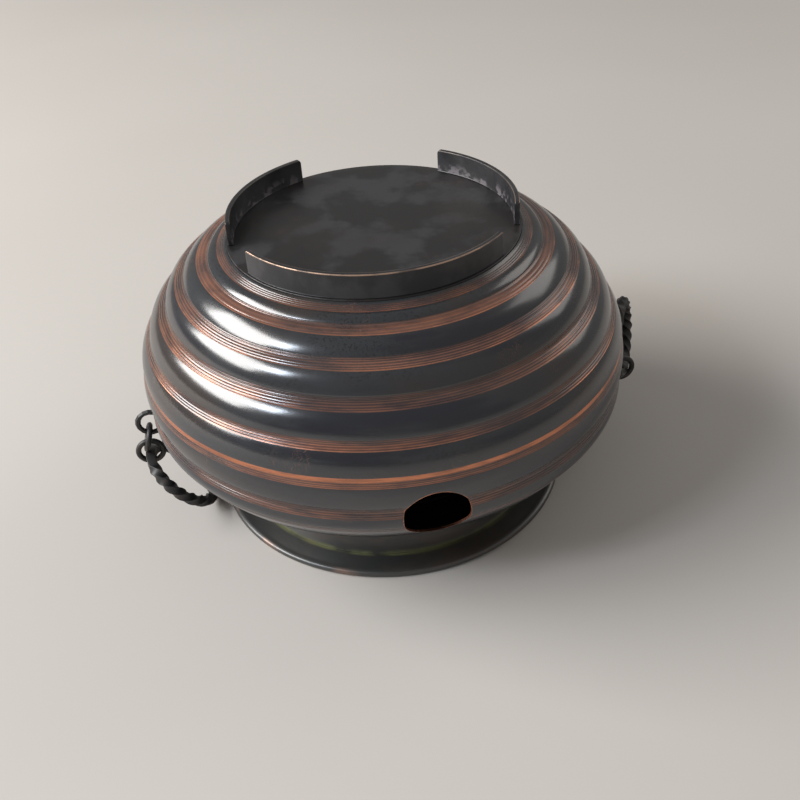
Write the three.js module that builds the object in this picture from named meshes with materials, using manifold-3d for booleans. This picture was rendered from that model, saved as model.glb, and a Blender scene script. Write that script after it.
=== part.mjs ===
// Ribbed metal tea stove, standing on its mouth rim with its base disc and feet on top.
// Millimetres, +Z up, the window towards -Y, the handles along X.
import * as THREE from 'three';
import { mergeVertices } from 'three/addons/utils/BufferGeometryUtils.js';
import Module from 'manifold-3d';

// Clearance between pieces that touch
const GAP = 0.3;

// Ribbed body: the grooves' radius and height, and how far each lobe stands out above its chord
const WALL = 1.6;
const GROOVES = [
  [98.3, 185.0], [105.4, 180.7], [122.4, 169.2], [136.2, 152.1], [149.6, 133.6],
  [157.3, 113.0], [156.2, 89.8], [156.4, 76.2],
];
const LOBE_RISE = [0.9, 2.4, 3.0, 3.0, 2.6, 2.4, 2.0];
const UNDERSIDE = [146.0, 61.4];
const BODY_EDGE = [132.6, 49.2];
const LOBE_STEPS = 2;
const BODY_SIDES = 60;

// Base disc, set in a seat at the body's top, and its three arc feet
const DISC_R = 92.0;
const DISC_TOP = 188.7;
const DISC_THICK = 2.0;
const DISC_PROUD = 0.9;
const LEDGE_WIDTH = 8.0;
const FOOT_INSET = 1.6;
const FOOT_THICK = 3.0;
const FOOT_HEIGHT = 14.6;
const FOOT_CORNER = 2.0;
const FOOT_TURN = -8.9;
const FOOT_FRONT = [-55.4, 55.4];
const FOOT_SIDE = [80.4, 148.0];
const FOOT_STEP = 5;
const CORNER_STEP = 30;

// Neck and rolled mouth rim
const NECK_R = 104.0;
const NECK_WALL = 1.6;
const COLLAR_WIDTH = 4.0;
const RIM_MID_R = 119.0;
const BEAD_R = 2.4;
const RIM_WALL = 1.1;
const CURL_STEP = 40;
const CURL_FROM = 50;
const CURL_FACETS = 5;
const RIM_SIDES = 48;

// Round air window
const WINDOW_D = 39.0;
const WINDOW_Z = 83.2;
const WINDOW_SIDES = 32;

// Small links and the eyes they hang on
const LINK_R = 8.4;
const WIRE_R = 1.9;
const LINK_SIDES = 16;
const WIRE_SIDES = 6;
const EYE_ALONG = 14.0;
const EYE_SHANK = 7.0;
const SHANK_SIDES = 12;
const WASHER_R = 4.5;
const WASHER_THICK = 1.2;
const WASHER_SEAT = 0.8;
const WASHER_SIDES = 20;

// Handle rings of square bar, plain for some degrees at each side of the link and twisted over the rest
const RING_R = 26.0;
const BAR_CORNER_R = 4.4;
const BAR_PLAIN = 35;
const BAR_QUARTER_TURNS = 16;
const RING_STEPS = 72;

// How each handle lies, with x counted outward: the lean of its two links from the vertical, in degrees,
// its ring's normal, the way from the ring's bar in the link to its centre, and the bar's place in the link
const LEFT = {
  leans: [17.9, -27.7],
  normal: [-0.717, 0.052, 0.695],
  way: [-0.689, -0.206, -0.695],
  seat: [0.08, -0.57, -1.62],
};
const RIGHT = {
  leans: [36.8, -3.9],
  normal: [0.86, -0.5, 0.106],
  way: [-0.098, 0.042, 0.994],
  seat: [2.38, 2.88, -2.17],
};

const COPPER_DARK = { color: 0x3a3230, roughness: 0.38, metalness: 0.9 };
const COPPER_PLAIN = { color: 0x4a4340, roughness: 0.5, metalness: 0.85 };
const COPPER_WORN = { color: 0x8a5a44, roughness: 0.45, metalness: 0.9 };
const IRON_BLACK = { color: 0x201d1c, roughness: 0.65, metalness: 0.7 };

const wasm = await Module();
wasm.setup();

const group = new THREE.Group();
const rad = THREE.MathUtils.degToRad;

// A closed mesh with merged corners whose faces point out
function closed(geometry) {
  const plain = geometry.clone();
  plain.deleteAttribute('normal');
  plain.deleteAttribute('uv');
  plain.morphAttributes = {};
  const merged = mergeVertices(plain, 1e-4);
  const p = merged.attributes.position;
  const kept = [];
  let volume = 0;
  const [a, b, c] = [new THREE.Vector3(), new THREE.Vector3(), new THREE.Vector3()];
  for (let i = 0; i < merged.index.count; i += 3) {
    const t = [0, 1, 2].map((k) => merged.index.getX(i + k));
    if (t[0] === t[1] || t[1] === t[2] || t[0] === t[2]) continue;
    kept.push(...t);
    a.fromBufferAttribute(p, t[0]);
    b.fromBufferAttribute(p, t[1]);
    c.fromBufferAttribute(p, t[2]);
    volume += a.dot(b.cross(c));
  }
  if (volume < 0) kept.reverse();
  merged.setIndex(kept);
  return merged;
}

function toSolid(geometry) {
  const mesh = closed(geometry);
  return new wasm.Manifold(new wasm.Mesh({
    numProp: 3,
    vertProperties: new Float32Array(mesh.attributes.position.array),
    triVerts: new Uint32Array(mesh.index.array),
  }));
}

function toGeometry(solid) {
  const mesh = solid.getMesh();
  const geometry = new THREE.BufferGeometry();
  geometry.setAttribute('position', new THREE.BufferAttribute(mesh.vertProperties, 3));
  geometry.setIndex(new THREE.BufferAttribute(mesh.triVerts, 1));
  return geometry;
}

function add(name, geometry, look) {
  const mesh = new THREE.Mesh(geometry, new THREE.MeshStandardMaterial(look));
  mesh.name = name;
  group.add(mesh);
}

// A profile of [radius, height] points, closed on itself and turned about Z
function turned(points, sides) {
  const loop = [...points, points[0]].map(([r, z]) => new THREE.Vector2(r, z));
  return closed(new THREE.LatheGeometry(loop, sides).rotateX(Math.PI / 2));
}

// Points of an arc that bulges by rise to the left of the way from a to b, without its end
function bulge(a, b, rise, steps) {
  const [dx, dz] = [b[0] - a[0], b[1] - a[1]];
  const length = Math.hypot(dx, dz);
  const points = [];
  for (let i = 0; i < steps; i += 1) {
    const t = i / steps;
    const lift = 4 * rise * t * (1 - t);
    points.push([a[0] + dx * t - (dz / length) * lift, a[1] + dz * t + (dx / length) * lift]);
  }
  return points;
}

// The sheet's inner side: the line of points moved by depth along the mean normal of its neighbours
function inset(line, depth) {
  return line.map((point, i) => {
    const before = line[Math.max(i - 1, 0)];
    const after = line[Math.min(i + 1, line.length - 1)];
    const [dx, dz] = [after[0] - before[0], after[1] - before[1]];
    const length = Math.hypot(dx, dz);
    return [point[0] + (dz / length) * depth, point[1] - (dx / length) * depth];
  });
}

// Ribbed body, from the ledge under the disc down over the lobes to the turned-in shoulder
const ledgeZ = DISC_TOP - DISC_THICK - GAP;
const bodyTop = [DISC_R + GAP, DISC_TOP - DISC_PROUD];
const shoulderHoleR = NECK_R + GAP;
const shoulderZ = BODY_EDGE[1] - WALL;
const outerLine = [bodyTop];
GROOVES.slice(0, -1).forEach((groove, i) => {
  outerLine.push(...bulge(groove, GROOVES[i + 1], LOBE_RISE[i], LOBE_STEPS));
});
outerLine.push(GROOVES.at(-1), UNDERSIDE, BODY_EDGE);
const innerLine = inset([bodyTop, ...GROOVES, UNDERSIDE], WALL);
const innerEdge = [BODY_EDGE[0] - WALL, BODY_EDGE[1] + GAP];
const bodyProfile = [
  [DISC_R - LEDGE_WIDTH, ledgeZ],
  [DISC_R + GAP, ledgeZ],
  ...outerLine,
  [BODY_EDGE[0] - GAP, shoulderZ],
  [shoulderHoleR, shoulderZ],
  [shoulderHoleR, shoulderZ + WALL],
  [innerEdge[0], shoulderZ + WALL],
  ...innerLine.slice(1).reverse(),
  [DISC_R - LEDGE_WIDTH, ledgeZ - WALL],
];
const windowCut = new THREE.CylinderGeometry(WINDOW_D / 2, WINDOW_D / 2, NECK_R, WINDOW_SIDES);
windowCut.translate(0, -GROOVES.at(-1)[0], WINDOW_Z);

// Where an eye stands: its foot on the underside, the way it points, and its ring's centre
const slope = Math.hypot(GROOVES.at(-1)[0] - UNDERSIDE[0], GROOVES.at(-1)[1] - UNDERSIDE[1]);
const along = [(GROOVES.at(-1)[0] - UNDERSIDE[0]) / slope, (GROOVES.at(-1)[1] - UNDERSIDE[1]) / slope];
const out = [along[1], -along[0]];
const eyeFoot = [UNDERSIDE[0] + along[0] * EYE_ALONG, UNDERSIDE[1] + along[1] * EYE_ALONG];
const eyeRise = LINK_R + WIRE_R + GAP;
const eyeX = eyeFoot[0] + out[0] * eyeRise;
const eyeZ = eyeFoot[1] + out[1] * eyeRise;

// A round bar of the given radius and length along the eye's way, from start off the underside
function bar(radius, start, length, side, sides) {
  const geometry = new THREE.CylinderGeometry(radius, radius, length, sides);
  const way = new THREE.Vector3(side * out[0], 0, out[1]);
  geometry.applyQuaternion(new THREE.Quaternion().setFromUnitVectors(new THREE.Vector3(0, 1, 0), way));
  const middle = start + length / 2;
  geometry.translate(side * (eyeFoot[0] + out[0] * middle), 0, eyeFoot[1] + out[1] * middle);
  return geometry;
}

let body = toSolid(turned(bodyProfile, BODY_SIDES)).subtract(toSolid(windowCut));
for (const side of [-1, 1]) {
  body = body.subtract(toSolid(bar(WIRE_R + GAP, -EYE_SHANK, 2 * EYE_SHANK, side, SHANK_SIDES)));
}
add('ribbed_body', toGeometry(body), COPPER_DARK);

// Base disc
add('base_plate', turned([
  [0, DISC_TOP - DISC_THICK], [DISC_R, DISC_TOP - DISC_THICK], [DISC_R, DISC_TOP], [0, DISC_TOP],
], RIM_SIDES), COPPER_PLAIN);

// An arc foot between two bearings, in degrees from -Y: a flat strip with round top corners, then bent
const footR = DISC_R - FOOT_INSET;
function foot(from, to) {
  const length = rad(to - from) * footR;
  const steps = Math.ceil((to - from) / FOOT_STEP);
  const outline = [];
  for (let i = 0; i <= steps; i += 1) outline.push([(length * i) / steps, 0]);
  const inFromEnd = (a) => FOOT_CORNER * (1 - Math.cos(rad(a)));
  const height = (a) => FOOT_HEIGHT - FOOT_CORNER * (1 - Math.sin(rad(a)));
  for (let a = 0; a <= 90; a += CORNER_STEP) outline.push([length - inFromEnd(a), height(a)]);
  for (let i = steps - 1; i >= 1; i -= 1) outline.push([(length * i) / steps, FOOT_HEIGHT]);
  for (let a = 90; a >= 0; a -= CORNER_STEP) outline.push([inFromEnd(a), height(a)]);
  const shape = new THREE.Shape(outline.map(([s, z]) => new THREE.Vector2(s, z)));
  const geometry = new THREE.ExtrudeGeometry(shape, { depth: FOOT_THICK, bevelEnabled: false });
  const p = geometry.attributes.position;
  for (let i = 0; i < p.count; i += 1) {
    const bearing = rad(from + FOOT_TURN) + p.getX(i) / footR;
    const r = footR - p.getZ(i);
    p.setXYZ(i, r * Math.sin(bearing), -r * Math.cos(bearing), DISC_TOP + GAP + p.getY(i));
  }
  return closed(geometry);
}
add('foot_front', foot(FOOT_FRONT[0], FOOT_FRONT[1]), COPPER_PLAIN);
add('foot_left', foot(-FOOT_SIDE[1], -FOOT_SIDE[0]), COPPER_PLAIN);
add('foot_right', foot(FOOT_SIDE[0], FOOT_SIDE[1]), COPPER_PLAIN);

// Neck tube, held by a collar that lies on the shoulder inside the body
const beadZ = BEAD_R;
const flangeTop = 2 * BEAD_R;
const collarZ = shoulderZ + WALL + GAP;
add('neck_ring', turned([
  [NECK_R - NECK_WALL, flangeTop + GAP], [NECK_R, flangeTop + GAP], [NECK_R, collarZ],
  [NECK_R + COLLAR_WIDTH, collarZ], [NECK_R + COLLAR_WIDTH, collarZ + NECK_WALL],
  [NECK_R - NECK_WALL, collarZ + NECK_WALL],
], RIM_SIDES), COPPER_PLAIN);

// Mouth flange, curled round a wire at its edge, with a level facet at its lowest
const curl = [];
for (let i = 0; i <= CURL_FACETS; i += 1) curl.push(CURL_FROM - i * CURL_STEP);
const atCurl = (a, r) => [RIM_MID_R + r * Math.cos(rad(a)), beadZ + r * Math.sin(rad(a))];
const facet = Math.cos(rad(CURL_STEP / 2));
add('mouth_flange', turned([
  [NECK_R - NECK_WALL, flangeTop - RIM_WALL],
  [RIM_MID_R, flangeTop - RIM_WALL],
  ...curl.map((a) => atCurl(a, (BEAD_R - RIM_WALL) / facet)),
  ...curl.map((a) => atCurl(a, BEAD_R / facet)).reverse(),
  [RIM_MID_R, flangeTop],
  [NECK_R - NECK_WALL, flangeTop],
], RIM_SIDES), COPPER_WORN);
const wireR = BEAD_R - RIM_WALL - GAP;
const beadWire = new THREE.TorusGeometry(RIM_MID_R, wireR, WIRE_SIDES, RIM_SIDES).translate(0, 0, beadZ);
add('bead_wire', closed(beadWire), IRON_BLACK);

// A round-wire link whose plane holds its lean, and X where it stands radially or Y where it lies across
function link(centre, lean, across) {
  const geometry = new THREE.TorusGeometry(LINK_R, WIRE_R, WIRE_SIDES, LINK_SIDES);
  geometry.rotateX(Math.PI / 2);
  if (across) geometry.rotateZ(Math.PI / 2);
  geometry.rotateY(lean);
  geometry.translate(...centre);
  return geometry;
}

// A ring of square bar, with its plane's normal and the way from its bar in the link to its centre
function twistedRing(centre, normal, way) {
  const positions = [];
  const index = [];
  for (let i = 0; i < RING_STEPS; i += 1) {
    const round = (2 * Math.PI * i) / RING_STEPS - Math.PI;
    const reach = THREE.MathUtils.clamp(round / (Math.PI - rad(BAR_PLAIN)), -1, 1);
    const twist = (BAR_QUARTER_TURNS * Math.PI * reach) / 4;
    for (let k = 0; k < 4; k += 1) {
      const turn = twist + (k * Math.PI) / 2;
      const r = RING_R + BAR_CORNER_R * Math.cos(turn);
      positions.push(r * Math.cos(round), r * Math.sin(round), BAR_CORNER_R * Math.sin(turn));
      const [a, b] = [4 * i + k, 4 * i + ((k + 1) % 4)];
      const next = 4 * ((i + 1) % RING_STEPS);
      const [c, d] = [next + k, next + ((k + 1) % 4)];
      index.push(a, c, b, b, c, d);
    }
  }
  const geometry = new THREE.BufferGeometry();
  geometry.setAttribute('position', new THREE.Float32BufferAttribute(positions, 3));
  geometry.setIndex(index);
  const across = new THREE.Vector3().crossVectors(normal, way);
  geometry.applyMatrix4(new THREE.Matrix4().makeBasis(way, across, normal).setPosition(centre));
  return closed(geometry);
}

// One handle: fixed eye, its washer behind the wall, two links and the twisted ring
const hang = LINK_R - 2 * WIRE_R - GAP;
function handle(name, side, pose) {
  add(`eye_${name}`, toGeometry(
    toSolid(link([side * eyeX, 0, eyeZ], 0, false))
      .add(toSolid(bar(WIRE_R, -EYE_SHANK, EYE_SHANK + GAP + WIRE_R, side, SHANK_SIDES))),
  ), IRON_BLACK);
  const washer = toSolid(bar(WASHER_R, -WALL - WASHER_SEAT - WASHER_THICK, WASHER_THICK, side, WASHER_SIDES))
    .subtract(toSolid(bar(WIRE_R + GAP, -EYE_SHANK, EYE_SHANK, side, SHANK_SIDES)));
  add(`eye_washer_${name}`, toGeometry(washer), COPPER_PLAIN);

  const [upper, lower] = pose.leans.map(rad);
  const upperWay = new THREE.Vector3(side * Math.sin(upper), 0, -Math.cos(upper));
  const lowerWay = new THREE.Vector3(side * Math.sin(lower), 0, -Math.cos(lower));
  const upperCentre = new THREE.Vector3(side * eyeX, 0, eyeZ).addScaledVector(upperWay, LINK_R + hang);
  const lowerCentre = upperCentre.clone().addScaledVector(upperWay, LINK_R).addScaledVector(lowerWay, hang);
  add(`link_${name}_1`, closed(link(upperCentre.toArray(), -side * upper, true)), IRON_BLACK);
  add(`link_${name}_2`, closed(link(lowerCentre.toArray(), -side * lower, false)), IRON_BLACK);

  const mirrored = ([x, y, z]) => new THREE.Vector3(side * x, y, z);
  const normal = mirrored(pose.normal).normalize();
  const way = mirrored(pose.way);
  way.addScaledVector(normal, -way.dot(normal)).normalize();
  const centre = lowerCentre.add(mirrored(pose.seat)).addScaledVector(way, RING_R);
  add(`twisted_ring_${name}`, twistedRing(centre, normal, way), IRON_BLACK);
}
handle('left', -1, LEFT);
handle('right', 1, RIGHT);

export default group;
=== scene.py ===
import math

import bmesh
import bpy
import numpy as np
from mathutils import Matrix, Vector


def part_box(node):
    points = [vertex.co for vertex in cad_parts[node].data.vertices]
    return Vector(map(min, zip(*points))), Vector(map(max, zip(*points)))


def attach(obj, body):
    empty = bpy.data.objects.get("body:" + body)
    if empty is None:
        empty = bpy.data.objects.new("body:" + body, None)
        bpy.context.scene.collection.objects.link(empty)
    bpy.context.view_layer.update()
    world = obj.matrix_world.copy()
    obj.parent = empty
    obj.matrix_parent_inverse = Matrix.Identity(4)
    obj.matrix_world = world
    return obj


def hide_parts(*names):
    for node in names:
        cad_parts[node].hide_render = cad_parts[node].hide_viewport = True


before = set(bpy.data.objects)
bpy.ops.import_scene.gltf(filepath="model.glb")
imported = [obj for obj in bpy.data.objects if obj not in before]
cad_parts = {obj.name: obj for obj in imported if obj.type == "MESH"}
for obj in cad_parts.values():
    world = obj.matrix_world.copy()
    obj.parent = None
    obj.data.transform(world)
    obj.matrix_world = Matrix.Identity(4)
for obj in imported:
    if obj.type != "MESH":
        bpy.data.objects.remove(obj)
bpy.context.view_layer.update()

MM = 0.001

# Ribbed body, in millimetres: groove radius and height, and each lobe's rise above its chord
GROOVES = [
    (98.3, 185.0), (105.4, 180.7), (122.4, 169.2), (136.2, 152.1), (149.6, 133.6),
    (157.3, 113.0), (156.2, 89.8), (156.4, 76.2),
]
LOBE_RISE = [0.9, 2.4, 3.0, 3.0, 2.6, 2.4, 2.0]
UNDERSIDE = (146.0, 61.4)
BODY_EDGE = (132.6, 49.2)
WALL = 1.6
SHOULDER_HOLE_R = 104.3

# Bands of turned lines, one to a groove: width along the sheet, how far below the groove their middle
# lies, number of lines, how much copper shows on the lines, between them and along the lower edge
BANDS = [
    {"width": 5.0, "drop": -2.6, "lines": 4, "line": 0.35, "ground": 0.08, "edge": 0.45},
    {"width": 5.4, "drop": 0.9, "lines": 4, "line": 0.55, "ground": 0.26, "edge": 0.95},
    {"width": 7.0, "drop": 0.3, "lines": 6, "line": 0.60, "ground": 0.13, "edge": 0.90},
    {"width": 7.7, "drop": 0.0, "lines": 7, "line": 0.72, "ground": 0.15, "edge": 0.70},
    {"width": 6.4, "drop": 0.0, "lines": 5, "line": 0.78, "ground": 0.22, "edge": 1.00},
    {"width": 7.4, "drop": 0.0, "lines": 6, "line": 0.66, "ground": 0.18, "edge": 0.60},
    {"width": 7.8, "drop": 0.0, "lines": 6, "line": 0.50, "ground": 0.15, "edge": 0.45},
    {"width": 5.0, "drop": 0.0, "lines": 3, "line": 0.55, "ground": 0.05, "edge": 0.50},
]
STRIPE_GROOVE = 5
STRIPE = (0.52, 0.90)
LINE_DEPTH = 0.16
TURN_STEPS = 300

# Window, disc, feet, neck and rim
WINDOW_R = 19.5
WINDOW_Z = 83.2
DISC_R = 92.0
DISC_TOP = 188.7
DISC_THICK = 2.0
DISC_PROUD = 0.9
LEDGE_R = 84.0
FOOT_R = DISC_R - 1.6
FOOT_THICK = 3.0
FOOT_HEIGHT = 14.6
FOOT_CORNER = 2.0
FOOT_TURN = -8.9
FEET = {"foot_front": (-55.4, 55.4), "foot_left": (-148.0, -80.4), "foot_right": (80.4, 148.0)}
NECK_R = 104.0
NECK_WALL = 1.6
COLLAR_Z = 49.5
COLLAR_WIDTH = 4.0
RIM_MID_R = 119.0
BEAD_R = 2.4
RIM_WALL = 1.1
GAP = 0.3
BODY_TOP = (DISC_R + GAP, DISC_TOP - DISC_PROUD)

# Handles
LINK_R = 8.4
WIRE_R = 1.9
RING_R = 26.0
BAR_CORNER_R = 4.4
BAR_PLAIN = 35.0
BAR_QUARTER_TURNS = 16

# Camera, in the object's own frame, with lengths in metres
CAMERA_BACK = 0.5516
CAMERA_UP = 0.4599
CAMERA_YAW = math.radians(0.928)
CAMERA_PITCH = math.radians(36.54)
CAMERA_ROLL = math.radians(-3.94)
OBJECT_TURN = math.radians(8.5)
LENS_MM = 43.6


def add_camera():
    cy, sy = math.cos(CAMERA_YAW), math.sin(CAMERA_YAW)
    cp, sp = math.cos(CAMERA_PITCH), math.sin(CAMERA_PITCH)
    cr, sr = math.cos(CAMERA_ROLL), math.sin(CAMERA_ROLL)
    ahead = Vector((sy * cp, cy * cp, -sp))
    level = Vector((cy, -sy, 0))
    above = level.cross(ahead)
    right = cr * level + sr * above
    up = cr * above - sr * level
    turn = Matrix.Rotation(-OBJECT_TURN, 4, "Z")
    place = Matrix((
        (right.x, up.x, -ahead.x, 0),
        (right.y, up.y, -ahead.y, -CAMERA_BACK),
        (right.z, up.z, -ahead.z, CAMERA_UP),
        (0, 0, 0, 1),
    ))
    data = bpy.data.cameras.new("camera")
    data.sensor_width = 36
    data.lens = LENS_MM
    camera = bpy.data.objects.new("camera", data)
    camera.matrix_world = turn @ place
    bpy.context.scene.collection.objects.link(camera)
    bpy.context.scene.camera = camera


class Wire:
    """A socket of a finish, with the arithmetic that the finishes need."""

    def __init__(self, finish, socket):
        self.finish = finish
        self.socket = socket

    def math(self, operation, *values):
        return self.finish.node("ShaderNodeMath", {"operation": operation}, (self, *values))

    def __add__(self, other):
        return self.math("ADD", other)

    def __radd__(self, other):
        return self.math("ADD", other)

    def __sub__(self, other):
        return self.math("SUBTRACT", other)

    def __rsub__(self, other):
        return self.finish.node("ShaderNodeMath", {"operation": "SUBTRACT"}, (other, self))

    def __mul__(self, other):
        return self.math("MULTIPLY", other)

    def __rmul__(self, other):
        return self.math("MULTIPLY", other)

    def __truediv__(self, other):
        return self.math("DIVIDE", other)

    def cos(self):
        return self.math("COSINE")

    def size(self):
        return self.math("ABSOLUTE")

    def root(self):
        return self.math("SQRT")

    def larger(self, other):
        return self.math("MAXIMUM", other)

    def rise(self, low, high):
        """0 below low, 1 above high, smooth between."""
        settings = {"interpolation_type": "SMOOTHSTEP"}
        return self.finish.node("ShaderNodeMapRange", settings, {0: self, 1: low, 2: high, 3: 0.0, 4: 1.0})

    def near(self, value, reach):
        """1 at value, falling to 0 at reach from it."""
        return 1 - (self - value).size().rise(0.0, reach)


class Finish:
    """A material made of nodes."""

    def __init__(self, name):
        self.material = bpy.data.materials.new(name)
        self.material.use_nodes = True
        self.tree = self.material.node_tree
        self.shader = self.tree.nodes["Principled BSDF"]
        self.place = self.node("ShaderNodeTexCoord", {}, (), output="Object")
        self.x, self.y, self.z = (self.millimetres_along(axis) for axis in "XYZ")
        self.radius = (self.x * self.x + self.y * self.y).root()

    def millimetres_along(self, axis):
        return self.node("ShaderNodeSeparateXYZ", {}, (self.place,), output=axis) * (1 / MM)

    def node(self, kind, settings, values, output=0):
        made = self.tree.nodes.new(kind)
        for name, value in settings.items():
            setattr(made, name, value)
        pairs = values.items() if isinstance(values, dict) else enumerate(values)
        for key, value in pairs:
            if isinstance(value, Wire):
                self.tree.links.new(value.socket, made.inputs[key])
            else:
                made.inputs[key].default_value = value
        return Wire(self, made.outputs[output])

    def noise(self, scale, detail=4.0, rough=0.55, stretch=(1, 1, 1)):
        spot = self.node("ShaderNodeMapping", {}, {"Vector": self.place, "Scale": stretch})
        values = {"Vector": spot, "Scale": scale, "Detail": detail, "Roughness": rough}
        return self.node("ShaderNodeTexNoise", {}, values)

    def blend(self, factor, low, high):
        """A colour between two colours, either of which can be a wire."""
        first, second = (c if isinstance(c, Wire) else (*c, 1.0) for c in (low, high))
        return self.node("ShaderNodeMix", {"data_type": "RGBA"}, {0: factor, 6: first, 7: second}, output=2)

    def bump(self, height, strength, distance):
        values = {"Height": height, "Strength": strength, "Distance": distance}
        return self.node("ShaderNodeBump", {}, values)

    def done(self, **sockets):
        names = {"color": "Base Color", "rough": "Roughness", "metal": "Metallic", "normal": "Normal",
                 "gloss": "IOR"}
        for key, value in sockets.items():
            socket = self.shader.inputs[names[key]]
            if isinstance(value, Wire):
                self.tree.links.new(value.socket, socket)
            else:
                socket.default_value = value
        return self.material


# Colours of the copper and its patina
PATINA_GREY = (0.022, 0.024, 0.028)
PATINA_BLUE = (0.006, 0.007, 0.014)
PATINA_WARM = (0.031, 0.022, 0.018)
PATINA_SPECK = (0.007, 0.007, 0.008)
COPPER_BRIGHT = (0.74, 0.30, 0.17)
COPPER_BROWN = (0.27, 0.115, 0.07)
EDGE_METAL = (0.62, 0.42, 0.31)
VERDIGRIS = (0.17, 0.18, 0.05)
IRON = (0.016, 0.015, 0.015)
IRON_BROWN = (0.050, 0.038, 0.032)
COAT_GLOSS = 1.78
SHEET_GLOSS = 1.5
IRON_GLOSS = 1.6


def patina(finish):
    """The dark coat of the sheet: grey, blue-black in long streaks and warm in patches, with dark specks."""
    warm = finish.noise(11.0, detail=3.0, stretch=(1, 1, 2.5)).rise(0.46, 0.66)
    coat = finish.blend(warm * 0.85, PATINA_GREY, PATINA_WARM)
    streaks = finish.noise(8.0, detail=4.0, stretch=(1, 1, 9)).rise(0.47, 0.60)
    coat = finish.blend(streaks * 0.85, coat, PATINA_BLUE)
    specks = finish.noise(900.0, detail=1.0).rise(0.565, 0.64)
    where = finish.noise(17.0, detail=3.0, stretch=(1, 1, 2)).rise(0.44, 0.58)
    return finish.blend(specks * where * 0.9, coat, PATINA_SPECK)


def scratches(finish):
    """Thin light scratches in two directions."""
    first = finish.noise(30.0, detail=1.0, stretch=(1.0, 26.0, 9.0)).near(0.5, 0.010)
    second = finish.noise(26.0, detail=1.0, stretch=(22.0, 1.5, 5.0)).near(0.5, 0.008)
    spread = finish.noise(34.0, detail=2.0).rise(0.58, 0.72)
    return (first + second) * spread


def all_bands():
    """Every band with its lowest and highest height, from the top of the body down."""
    stops = [BODY_TOP, *GROOVES, UNDERSIDE]
    found = []
    for i, band in enumerate(BANDS):
        before, groove, after = stops[i], stops[i + 1], stops[i + 2]
        down = (groove[1] - after[1]) / math.dist(groove, after)
        up = (before[1] - groove[1]) / math.dist(before, groove)
        low = band["drop"] + band["width"] / 2
        high = band["drop"] - band["width"] / 2
        heights = [groove[1] - (down if d > 0 else up) * d for d in (low, high)]
        found.append({**band, "low": heights[0], "high": heights[1]})
    return found


def band_copper(finish, band, worn):
    """How much copper shows in one band: on its lines, between them and as a crisp lower edge."""
    along = (finish.z - band["low"]) / (band["high"] - band["low"])
    inside = along.rise(-0.02, 0.03) * (1 - along.rise(0.90, 1.02))
    ridge = 0.5 + 0.5 * (along * (2 * math.pi * band["lines"])).cos()
    lower = 1 - 0.45 * along.rise(0.0, 1.0)
    thin = ridge * ridge
    lines = inside * (band["ground"] + (band["line"] - band["ground"]) * thin * thin) * lower
    edge = along.near(0.02, 0.06) * band["edge"]
    return lines.larger(edge) * (0.30 + 0.70 * worn)


def ribbed_finish():
    finish = Finish("ribbed_copper")
    worn = finish.noise(9.0, detail=3.0, stretch=(1, 1, 2)).rise(0.28, 0.62)
    fine = finish.noise(45.0, detail=4.0, stretch=(1, 1, 8)).rise(0.34, 0.60)
    bands = all_bands()
    copper = None
    for band in bands:
        shown = band_copper(finish, band, worn)
        copper = shown if copper is None else copper.larger(shown)
    stripe_band = bands[STRIPE_GROOVE]
    along = (finish.z - stripe_band["low"]) / (stripe_band["high"] - stripe_band["low"])
    front = 1 - finish.y.rise(-70.0, 10.0)
    stripe = along.rise(STRIPE[0] - 0.04, STRIPE[0] + 0.04) * front
    stripe = stripe * (1 - along.rise(STRIPE[1], STRIPE[1] + 0.08))
    hem = finish.z.near(BODY_EDGE[1] + 0.3, 0.8) * 0.55
    drop = finish.z - WINDOW_Z
    across = (finish.x * finish.x + drop * drop).root()
    burr = across.near(WINDOW_R, 0.6) * (1 - finish.y.rise(-60.0, -40.0))
    copper = (copper * (0.50 + 0.50 * fine)).larger(hem * fine).larger(burr * (0.35 + 0.65 * fine))
    copper = copper.larger(stripe * (0.75 + 0.25 * fine))
    metal = finish.blend(worn * 0.7 + fine * 0.3, COPPER_BROWN, COPPER_BRIGHT)
    coat = finish.blend(scratches(finish) * 0.5, patina(finish), COPPER_BROWN)
    color = finish.blend(copper, coat, metal)
    rough = 0.13 + 0.12 * finish.noise(40.0) + 0.14 * copper
    waves = finish.noise(38.0, detail=2.0) + 0.05 * finish.noise(700.0, detail=2.0)
    return finish.done(color=color, rough=rough, metal=copper * 0.95, gloss=COAT_GLOSS,
                       normal=finish.bump(waves, 0.28, 0.0005))


def inside_finish():
    """The body's inside: dull and very dark, brown in patches."""
    finish = Finish("dark_inside_copper")
    thin = finish.noise(28.0, detail=5.0).rise(0.50, 0.68)
    color = finish.blend(thin * 0.7, (0.006, 0.006, 0.006), (0.030, 0.022, 0.018))
    rough = 0.60 + 0.25 * finish.noise(60.0)
    crust = finish.noise(220.0, detail=4.0)
    return finish.done(color=color, rough=rough, metal=0.0, normal=finish.bump(crust, 0.3, 0.0004))


def plain_finish():
    """The disc: dark, with soft matt blotches and a few thin scratches."""
    finish = Finish("plain_sheet")
    blotches = finish.noise(26.0, detail=6.0).rise(0.47, 0.60)
    coat = finish.blend(blotches, (0.018, 0.017, 0.017), (0.040, 0.040, 0.043))
    coat = finish.blend(finish.noise(12.0, detail=3.0).rise(0.50, 0.70) * 0.6, coat, (0.034, 0.027, 0.023))
    color = finish.blend(scratches(finish) * 0.25, coat, COPPER_BROWN)
    rough = 0.30 + 0.16 * blotches
    dents = finish.noise(30.0, detail=3.0) + 0.06 * finish.noise(800.0, detail=2.0)
    return finish.done(color=color, rough=rough, metal=0.15, gloss=SHEET_GLOSS,
                       normal=finish.bump(dents, 0.20, 0.0005))


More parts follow.
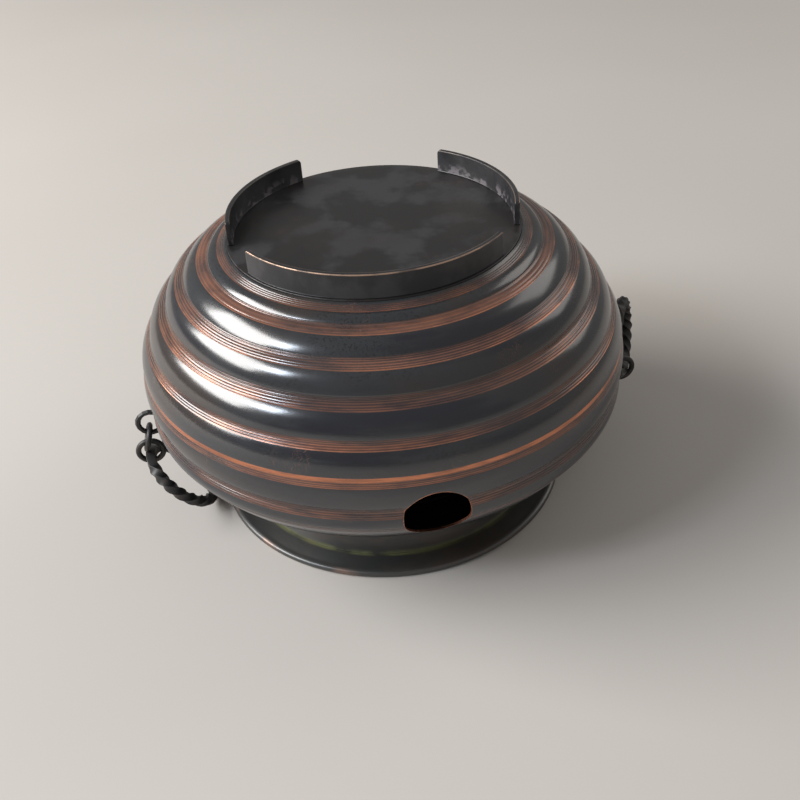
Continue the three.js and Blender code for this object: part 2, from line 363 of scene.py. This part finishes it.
def foot_finish():
    """The feet: dark strips with thin bright metal along their edges and rough solder at their base."""
    finish = Finish("foot_sheet")
    top = DISC_TOP + GAP + FOOT_HEIGHT
    coat = finish.blend(finish.noise(45.0, detail=4.0).rise(0.42, 0.62), (0.014, 0.014, 0.016),
                        (0.030, 0.029, 0.031))
    inner = 1 - finish.radius.rise(FOOT_R - 2.6, FOOT_R - 2.0)
    solder = inner * (1 - finish.z.rise(DISC_TOP + 1.5, DISC_TOP + 9.0))
    spatter = finish.noise(150.0, detail=5.0).rise(0.50, 0.60) * solder
    coat = finish.blend(spatter * 0.7, coat, (0.16, 0.14, 0.15))
    rub = finish.noise(60.0, detail=4.0).rise(0.32, 0.56)
    outer_edge = finish.radius.near(FOOT_R, 0.8)
    inner_edge = finish.radius.near(FOOT_R - FOOT_THICK, 0.7) * 0.6
    edge = finish.z.rise(top - 0.9, top - 0.3) * outer_edge.larger(inner_edge) * (0.25 + 0.75 * rub)
    front = 1 - finish.y.rise(-60.0, 20.0)
    metal = finish.blend(front, (0.20, 0.17, 0.15), EDGE_METAL)
    color = finish.blend(edge, coat, metal)
    rough = 0.26 + 0.16 * finish.noise(40.0) + 0.2 * spatter
    dents = finish.noise(40.0, detail=3.0) + 0.5 * spatter
    return finish.done(color=color, rough=rough, metal=edge * 0.9, gloss=SHEET_GLOSS,
                       normal=finish.bump(dents, 0.25, 0.0006))


def rim_finish():
    """The neck and rim: grey brown, a thin green line where they meet, rubbed copper on the bead."""
    finish = Finish("rim_copper")
    coat = finish.blend(finish.noise(24.0, detail=4.0, stretch=(1, 1, 3)).rise(0.42, 0.62),
                        (0.030, 0.031, 0.030), (0.052, 0.043, 0.036))
    patchy = finish.noise(40.0, detail=4.0).rise(0.34, 0.56)
    corner = finish.radius.near(NECK_R + 0.9, 2.2) * (1 - finish.z.rise(5.8, 8.5)) * patchy
    color = finish.blend(corner * 0.6, coat, VERDIGRIS)
    rub = finish.noise(22.0, detail=4.0).rise(0.44, 0.60) * (1 - finish.x.rise(-80.0, 10.0))
    bead = finish.radius.rise(RIM_MID_R - 0.4, RIM_MID_R + 1.2) * rub
    color = finish.blend(bead * 0.65, color, (0.42, 0.26, 0.20))
    rough = 0.30 + 0.30 * corner + 0.14 * finish.noise(40.0)
    dents = finish.noise(60.0, detail=3.0)
    return finish.done(color=color, rough=rough, metal=bead * 0.8, gloss=COAT_GLOSS,
                       normal=finish.bump(dents, 0.3, 0.0005))


def iron_finish():
    finish = Finish("black_iron")
    rust = finish.noise(110.0, detail=4.0).rise(0.50, 0.66)
    color = finish.blend(rust * 0.7, IRON, IRON_BROWN)
    rough = 0.40 + 0.20 * finish.noise(90.0)
    forged = finish.noise(260.0, detail=4.0)
    return finish.done(color=color, rough=rough, metal=0.2, gloss=IRON_GLOSS,
                       normal=finish.bump(forged, 0.35, 0.0004))


def floor_finish():
    finish = Finish("pale_paper")
    tone = finish.noise(1.6, detail=2.0)
    color = finish.blend(tone, (0.50, 0.465, 0.43), (0.57, 0.54, 0.505))
    fibre = finish.noise(300.0, detail=3.0)
    return finish.done(color=color, rough=0.8, metal=0.0, normal=finish.bump(fibre, 0.05, 0.0003))


def add_piece(name, points, faces, finish, body, nodes, smooth=True):
    """A mesh in metres from points in millimetres, riding on its body in place of its nodes."""
    mesh = bpy.data.meshes.new(name)
    mesh.from_pydata([tuple(c * MM for c in p) for p in points], [], faces)
    mesh.validate()
    tidy = bmesh.new()
    tidy.from_mesh(mesh)
    bmesh.ops.recalc_face_normals(tidy, faces=tidy.faces)
    tidy.to_mesh(mesh)
    tidy.free()
    piece = bpy.data.objects.new(name, mesh)
    bpy.context.scene.collection.objects.link(piece)
    mesh.materials.append(finish)
    for face in mesh.polygons:
        face.use_smooth = smooth
    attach(piece, body)
    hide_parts(*nodes)
    return piece


def turned(line, steps):
    """Points and faces of a closed outline of (radius, height) turned about Z."""
    count = len(line)
    points = []
    for i in range(steps):
        a = 2 * math.pi * i / steps
        points += [(r * math.cos(a), r * math.sin(a), z) for r, z in line]
    faces = []
    for i in range(steps):
        here, there = i * count, ((i + 1) % steps) * count
        for k in range(count):
            n = (k + 1) % count
            faces.append((here + k, here + n, there + n, there + k))
    return points, faces


def lobe_point(start, end, rise, t):
    dr, dz = end[0] - start[0], end[1] - start[1]
    length = math.hypot(dr, dz)
    lift = 4 * rise * t * (1 - t)
    return start[0] + dr * t - dz / length * lift, start[1] + dz * t + dr / length * lift


def body_line():
    """The body's outside from top to bottom, evenly spaced, with soft grooves and turned lines."""
    rough = [lobe_point(BODY_TOP, GROOVES[0], 0.0, t) for t in np.linspace(0, 1, 40)[:-1]]
    for start, end, rise in zip(GROOVES, GROOVES[1:], LOBE_RISE):
        rough += [lobe_point(start, end, rise, t) for t in np.linspace(0, 1, 60)[:-1]]
    rough += [lobe_point(GROOVES[-1], UNDERSIDE, 0.3, t) for t in np.linspace(0, 1, 40)[:-1]]
    rough += [lobe_point(UNDERSIDE, BODY_EDGE, -0.7, t) for t in np.linspace(0, 1, 40)]
    rough = np.array(rough)
    run = np.concatenate([[0], np.cumsum(np.linalg.norm(np.diff(rough, axis=0), axis=1))])
    spacing = 0.15
    even = np.arange(0, run[-1], spacing)
    line = np.stack([np.interp(even, run, rough[:, k]) for k in (0, 1)], 1)
    reach = 12
    weights = np.exp(-0.5 * (np.arange(-reach, reach + 1) * spacing / 0.7) ** 2)
    weights /= weights.sum()
    padded = np.pad(line, ((reach, reach), (0, 0)), mode="edge")
    soft = np.stack([np.convolve(padded[:, k], weights, mode="valid") for k in (0, 1)], 1)
    soft[0], soft[-1] = line[0], line[-1]
    slope = np.gradient(soft, axis=0)
    slope /= np.linalg.norm(slope, axis=1)[:, None]
    normal = np.stack([-slope[:, 1], slope[:, 0]], 1)
    cut = np.zeros(len(soft))
    in_band = np.zeros(len(soft), bool)
    for band in all_bands():
        along = (soft[:, 1] - band["low"]) / (band["high"] - band["low"])
        inside = (along >= 0) & (along <= 1)
        cut = np.where(inside, LINE_DEPTH * (0.5 - 0.5 * np.cos(2 * np.pi * band["lines"] * along)), cut)
        in_band |= inside
    kept = in_band | (np.arange(len(soft)) % 6 == 0)
    kept[[0, -1]] = True
    return (soft - normal * cut[:, None])[kept], (soft - normal * WALL)[::12]


def ribbed_body(finish, inside_coat):
    outside, inside = body_line()
    ledge = DISC_TOP - DISC_THICK - GAP
    foot = BODY_EDGE[1] - WALL
    line = [(LEDGE_R, ledge), (BODY_TOP[0], ledge), *map(tuple, outside)]
    line += [(BODY_EDGE[0] - 0.8, foot), (SHOULDER_HOLE_R, foot), (SHOULDER_HOLE_R, foot + WALL)]
    line += [(BODY_EDGE[0] - 3.0, foot + WALL), *map(tuple, inside[::-1][2:-4]), (LEDGE_R, ledge - WALL)]
    points, faces = turned(line, TURN_STEPS)
    piece = add_piece("ribbed_body_fine", points, faces, finish, "stove", ["ribbed_body"])
    piece.data.materials.append(inside_coat)
    first_inside = 2 + len(outside)
    for face in piece.data.polygons:
        face.material_index = int(face.index % len(line) > first_inside)
    cutter_mesh = bpy.data.meshes.new("window_cutter")
    shape = bmesh.new()
    bmesh.ops.create_cone(shape, cap_ends=True, segments=128, radius1=WINDOW_R * MM, radius2=WINDOW_R * MM,
                          depth=0.06, matrix=Matrix.Translation((0, -0.156, WINDOW_Z * MM))
                          @ Matrix.Rotation(math.pi / 2, 4, "X"))
    shape.to_mesh(cutter_mesh)
    shape.free()
    cutter = bpy.data.objects.new("window_cutter", cutter_mesh)
    bpy.context.scene.collection.objects.link(cutter)
    cut = piece.modifiers.new("window", "BOOLEAN")
    cut.operation = "DIFFERENCE"
    cut.solver = "EXACT"
    cut.object = cutter
    depsgraph = bpy.context.evaluated_depsgraph_get()
    opened = bpy.data.meshes.new_from_object(piece.evaluated_get(depsgraph))
    piece.modifiers.clear()
    piece.data = opened
    bpy.data.objects.remove(cutter)
    opened.set_sharp_from_angle(angle=math.radians(35))
    return piece


def arc(centre, radius, start, end, count):
    """Points of (radius, height) round a centre, with angles in degrees."""
    return [(centre[0] + radius * math.cos(math.radians(a)), centre[1] + radius * math.sin(math.radians(a)))
            for a in np.linspace(start, end, count)]


def disc(finish):
    low, edge = DISC_TOP - DISC_THICK, 0.5
    line = [(0.02, low), (DISC_R, low), *arc((DISC_R - edge, DISC_TOP - edge), edge, 0, 90, 6)]
    line += [(DISC_R - 6.0, DISC_TOP - 0.05), (60.0, DISC_TOP - 0.25), (30.0, DISC_TOP - 0.2)]
    line.append((0.02, DISC_TOP))
    points, faces = turned(line, 192)
    piece = add_piece("base_disc", points, faces, finish, "stove", ["base_plate"])
    piece.data.set_sharp_from_angle(angle=math.radians(35))


def foot(name, span, finish):
    """A bent strip with round top corners and soft edges."""
    base = DISC_TOP + GAP
    start, end = (math.radians(a + FOOT_TURN) for a in span)
    length = (end - start) * FOOT_R
    ends = FOOT_CORNER * (1 - np.cos(np.linspace(0, math.pi / 2, 10)))
    stations = np.concatenate([ends, np.linspace(FOOT_CORNER, length - FOOT_CORNER, 70)[1:-1],
                               (length - ends)[::-1]])
    points = []
    soft = 0.45
    middle = FOOT_R - FOOT_THICK / 2
    half = FOOT_THICK / 2
    for s in stations:
        d = min(s, length - s)
        drop = FOOT_CORNER - math.sqrt(max(0.0, FOOT_CORNER ** 2 - max(0.0, FOOT_CORNER - d) ** 2))
        top = base + FOOT_HEIGHT - drop
        a = start + s / FOOT_R
        section = [(middle + half + 0.35, base), (middle + half, base + 0.5)]
        section += arc((middle + half - soft, top - soft), soft, 0, 90, 4)
        section += arc((middle - half + soft, top - soft), soft, 90, 180, 4)
        section += [(middle - half, base + 0.5), (middle - half - 0.35, base)]
        points += [(r * math.sin(a), -r * math.cos(a), z) for r, z in section]
    count = len(section)
    faces = []
    for i in range(len(stations) - 1):
        for k in range(count):
            n = (k + 1) % count
            faces.append((i * count + k, i * count + n, (i + 1) * count + n, (i + 1) * count + k))
    faces.append(tuple(range(count)))
    faces.append(tuple((len(stations) - 1) * count + k for k in range(count)))
    piece = add_piece(name + "_strip", points, faces, finish, "stove", [name])
    piece.data.set_sharp_from_angle(angle=math.radians(50))


def neck_and_rim(finish):
    top = 2 * BEAD_R
    inner = NECK_R - NECK_WALL
    neck = [(inner, top + GAP), (NECK_R + 0.4, top + GAP), (NECK_R, top + 1.2), (NECK_R - 0.5, 26.0),
            (NECK_R, COLLAR_Z), (NECK_R + COLLAR_WIDTH, COLLAR_Z), (NECK_R + COLLAR_WIDTH, COLLAR_Z + 1.4),
            (inner, COLLAR_Z + 1.4)]
    points, faces = turned(neck, 192)
    piece = add_piece("neck_tube", points, faces, finish, "stove", ["neck_ring"])
    piece.data.set_sharp_from_angle(angle=math.radians(35))
    centre = (RIM_MID_R, BEAD_R)
    rim = [(inner, top - RIM_WALL), (RIM_MID_R, top - RIM_WALL)]
    rim += arc(centre, BEAD_R - RIM_WALL, 70, -150, 22)
    rim += arc(centre, BEAD_R, -150, 60, 34)
    rim += [(RIM_MID_R - 1.2, top + 0.35), (RIM_MID_R - 3.2, top - 0.25), (inner, top)]
    points, faces = turned(rim, 240)
    piece = add_piece("mouth_rim", points, faces, finish, "stove", ["mouth_flange"])
    piece.data.set_sharp_from_angle(angle=math.radians(50))


def ring_frame(node, link=None):
    """Centre and axes of a ring node from its own points, the first axis pointing away from its link."""
    co = np.array([v.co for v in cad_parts[node].data.vertices])
    centre = co.mean(0)
    _, _, axes = np.linalg.svd(co - centre, full_matrices=False)
    away, normal = axes[0], axes[2]
    if link:
        low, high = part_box(link)
        away = centre - (np.array(low) + np.array(high)) / 2
        away -= normal * (away @ normal)
        away /= np.linalg.norm(away)
    return centre / MM, away, np.cross(normal, away), normal


def bent_ring(axes, mean, section, steps, plain=0.0, quarter_turns=0):
    """A ring whose section, in (outward, across) points, twists except for plain degrees beside its link."""
    centre, away, beside, normal = axes
    points = []
    for i in range(steps):
        a = 2 * math.pi * i / steps - math.pi
        out = away * math.cos(a) + beside * math.sin(a)
        reach = max(-1.0, min(1.0, a / (math.pi - math.radians(plain))))
        twist = quarter_turns * math.pi * reach / 4
        ct, st = math.cos(twist), math.sin(twist)
        for p, q in section:
            points.append(centre + out * (mean + p * ct - q * st) + normal * (p * st + q * ct))
    count = len(section)
    faces = []
    for i in range(steps):
        here, there = i * count, ((i + 1) % steps) * count
        for k in range(count):
            n = (k + 1) % count
            faces.append((here + k, here + n, there + n, there + k))
    return points, faces


def square_section(corner, softness):
    """A square's outline with soft corners, one of them pointing outward."""
    points = []
    for k in range(4):
        turn = k * math.pi / 2
        middle = corner - softness * math.sqrt(2)
        for a in np.linspace(-math.pi / 4, math.pi / 4, 5):
            points.append((middle * math.cos(turn) + softness * math.cos(turn + a),
                           middle * math.sin(turn) + softness * math.sin(turn + a)))
    return points


def handles(finish):
    wire = [(WIRE_R * math.cos(a), WIRE_R * math.sin(a)) for a in np.linspace(0, 2 * math.pi, 17)[:-1]]
    bar = square_section(BAR_CORNER_R, 0.5)
    for side in ("left", "right"):
        for number, body in ((1, "upper_link_" + side), (2, "lower_link_" + side)):
            node = f"link_{side}_{number}"
            points, faces = bent_ring(ring_frame(node), LINK_R, wire, 72)
            add_piece(node + "_wire", points, faces, finish, body, [node])
        node = f"twisted_ring_{side}"
        axes = ring_frame(node, f"link_{side}_2")
        points, faces = bent_ring(axes, RING_R, bar, 360, BAR_PLAIN, BAR_QUARTER_TURNS)
        piece = add_piece(node + "_bar", points, faces, finish, "ring_" + side, [node])
        piece.data.set_sharp_from_angle(angle=math.radians(60))


def add_light(name, bearing, lift, away, size, shine, color):
    """A square lamp seen from the object at a bearing from +Y towards +X and a lift, in degrees."""
    data = bpy.data.lights.new(name, "AREA")
    data.energy = shine * math.pi * size[0] * size[1]
    data.color = color
    data.shape = "RECTANGLE"
    data.size, data.size_y = size
    light = bpy.data.objects.new(name, data)
    b, e = math.radians(bearing), math.radians(lift)
    place = Vector((math.sin(b) * math.cos(e), math.cos(b) * math.cos(e), math.sin(e))) * away
    light.location = place
    light.rotation_euler = (-place).to_track_quat("-Z", "Y").to_euler()
    bpy.context.scene.collection.objects.link(light)


def stage():
    mesh = bpy.data.meshes.new("floor")
    half = 6.0
    corners = [(-half, -half, 0), (half, -half, 0), (half, half, 0), (-half, half, 0)]
    mesh.from_pydata(corners, [], [(0, 1, 2, 3)])
    floor = bpy.data.objects.new("floor", mesh)
    mesh.materials.append(floor_finish())
    bpy.context.scene.collection.objects.link(floor)
    add_light("left_window", -80, 34, 3.2, (2.4, 1.5), 12.0, (1.0, 0.985, 0.965))
    add_light("blue_pane", -110, 40, 3.0, (0.5, 0.6), 24.0, (0.78, 0.87, 1.0))
    add_light("right_fill", 70, 35, 3.0, (1.6, 1.4), 1.6, (1.0, 0.95, 0.9))
    world = bpy.data.worlds.new("room")
    world.use_nodes = True
    background = world.node_tree.nodes["Background"]
    background.inputs["Color"].default_value = (1.0, 0.98, 0.96, 1)
    background.inputs["Strength"].default_value = 0.27
    bpy.context.scene.world = world


add_camera()
stage()
ribbed_body(ribbed_finish(), inside_finish())
plain = plain_finish()
disc(plain)
foot_sheet = foot_finish()
for foot_name, foot_span in FEET.items():
    foot(foot_name, foot_span, foot_sheet)
neck_and_rim(rim_finish())
iron = iron_finish()
handles(iron)
for node_name, material in (("eye_left", iron), ("eye_right", iron), ("bead_wire", iron),
                            ("eye_washer_left", plain), ("eye_washer_right", plain)):
    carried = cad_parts[node_name]
    carried.data.materials.clear()
    carried.data.materials.append(material)

bpy.context.scene.view_settings.view_transform = "Standard"
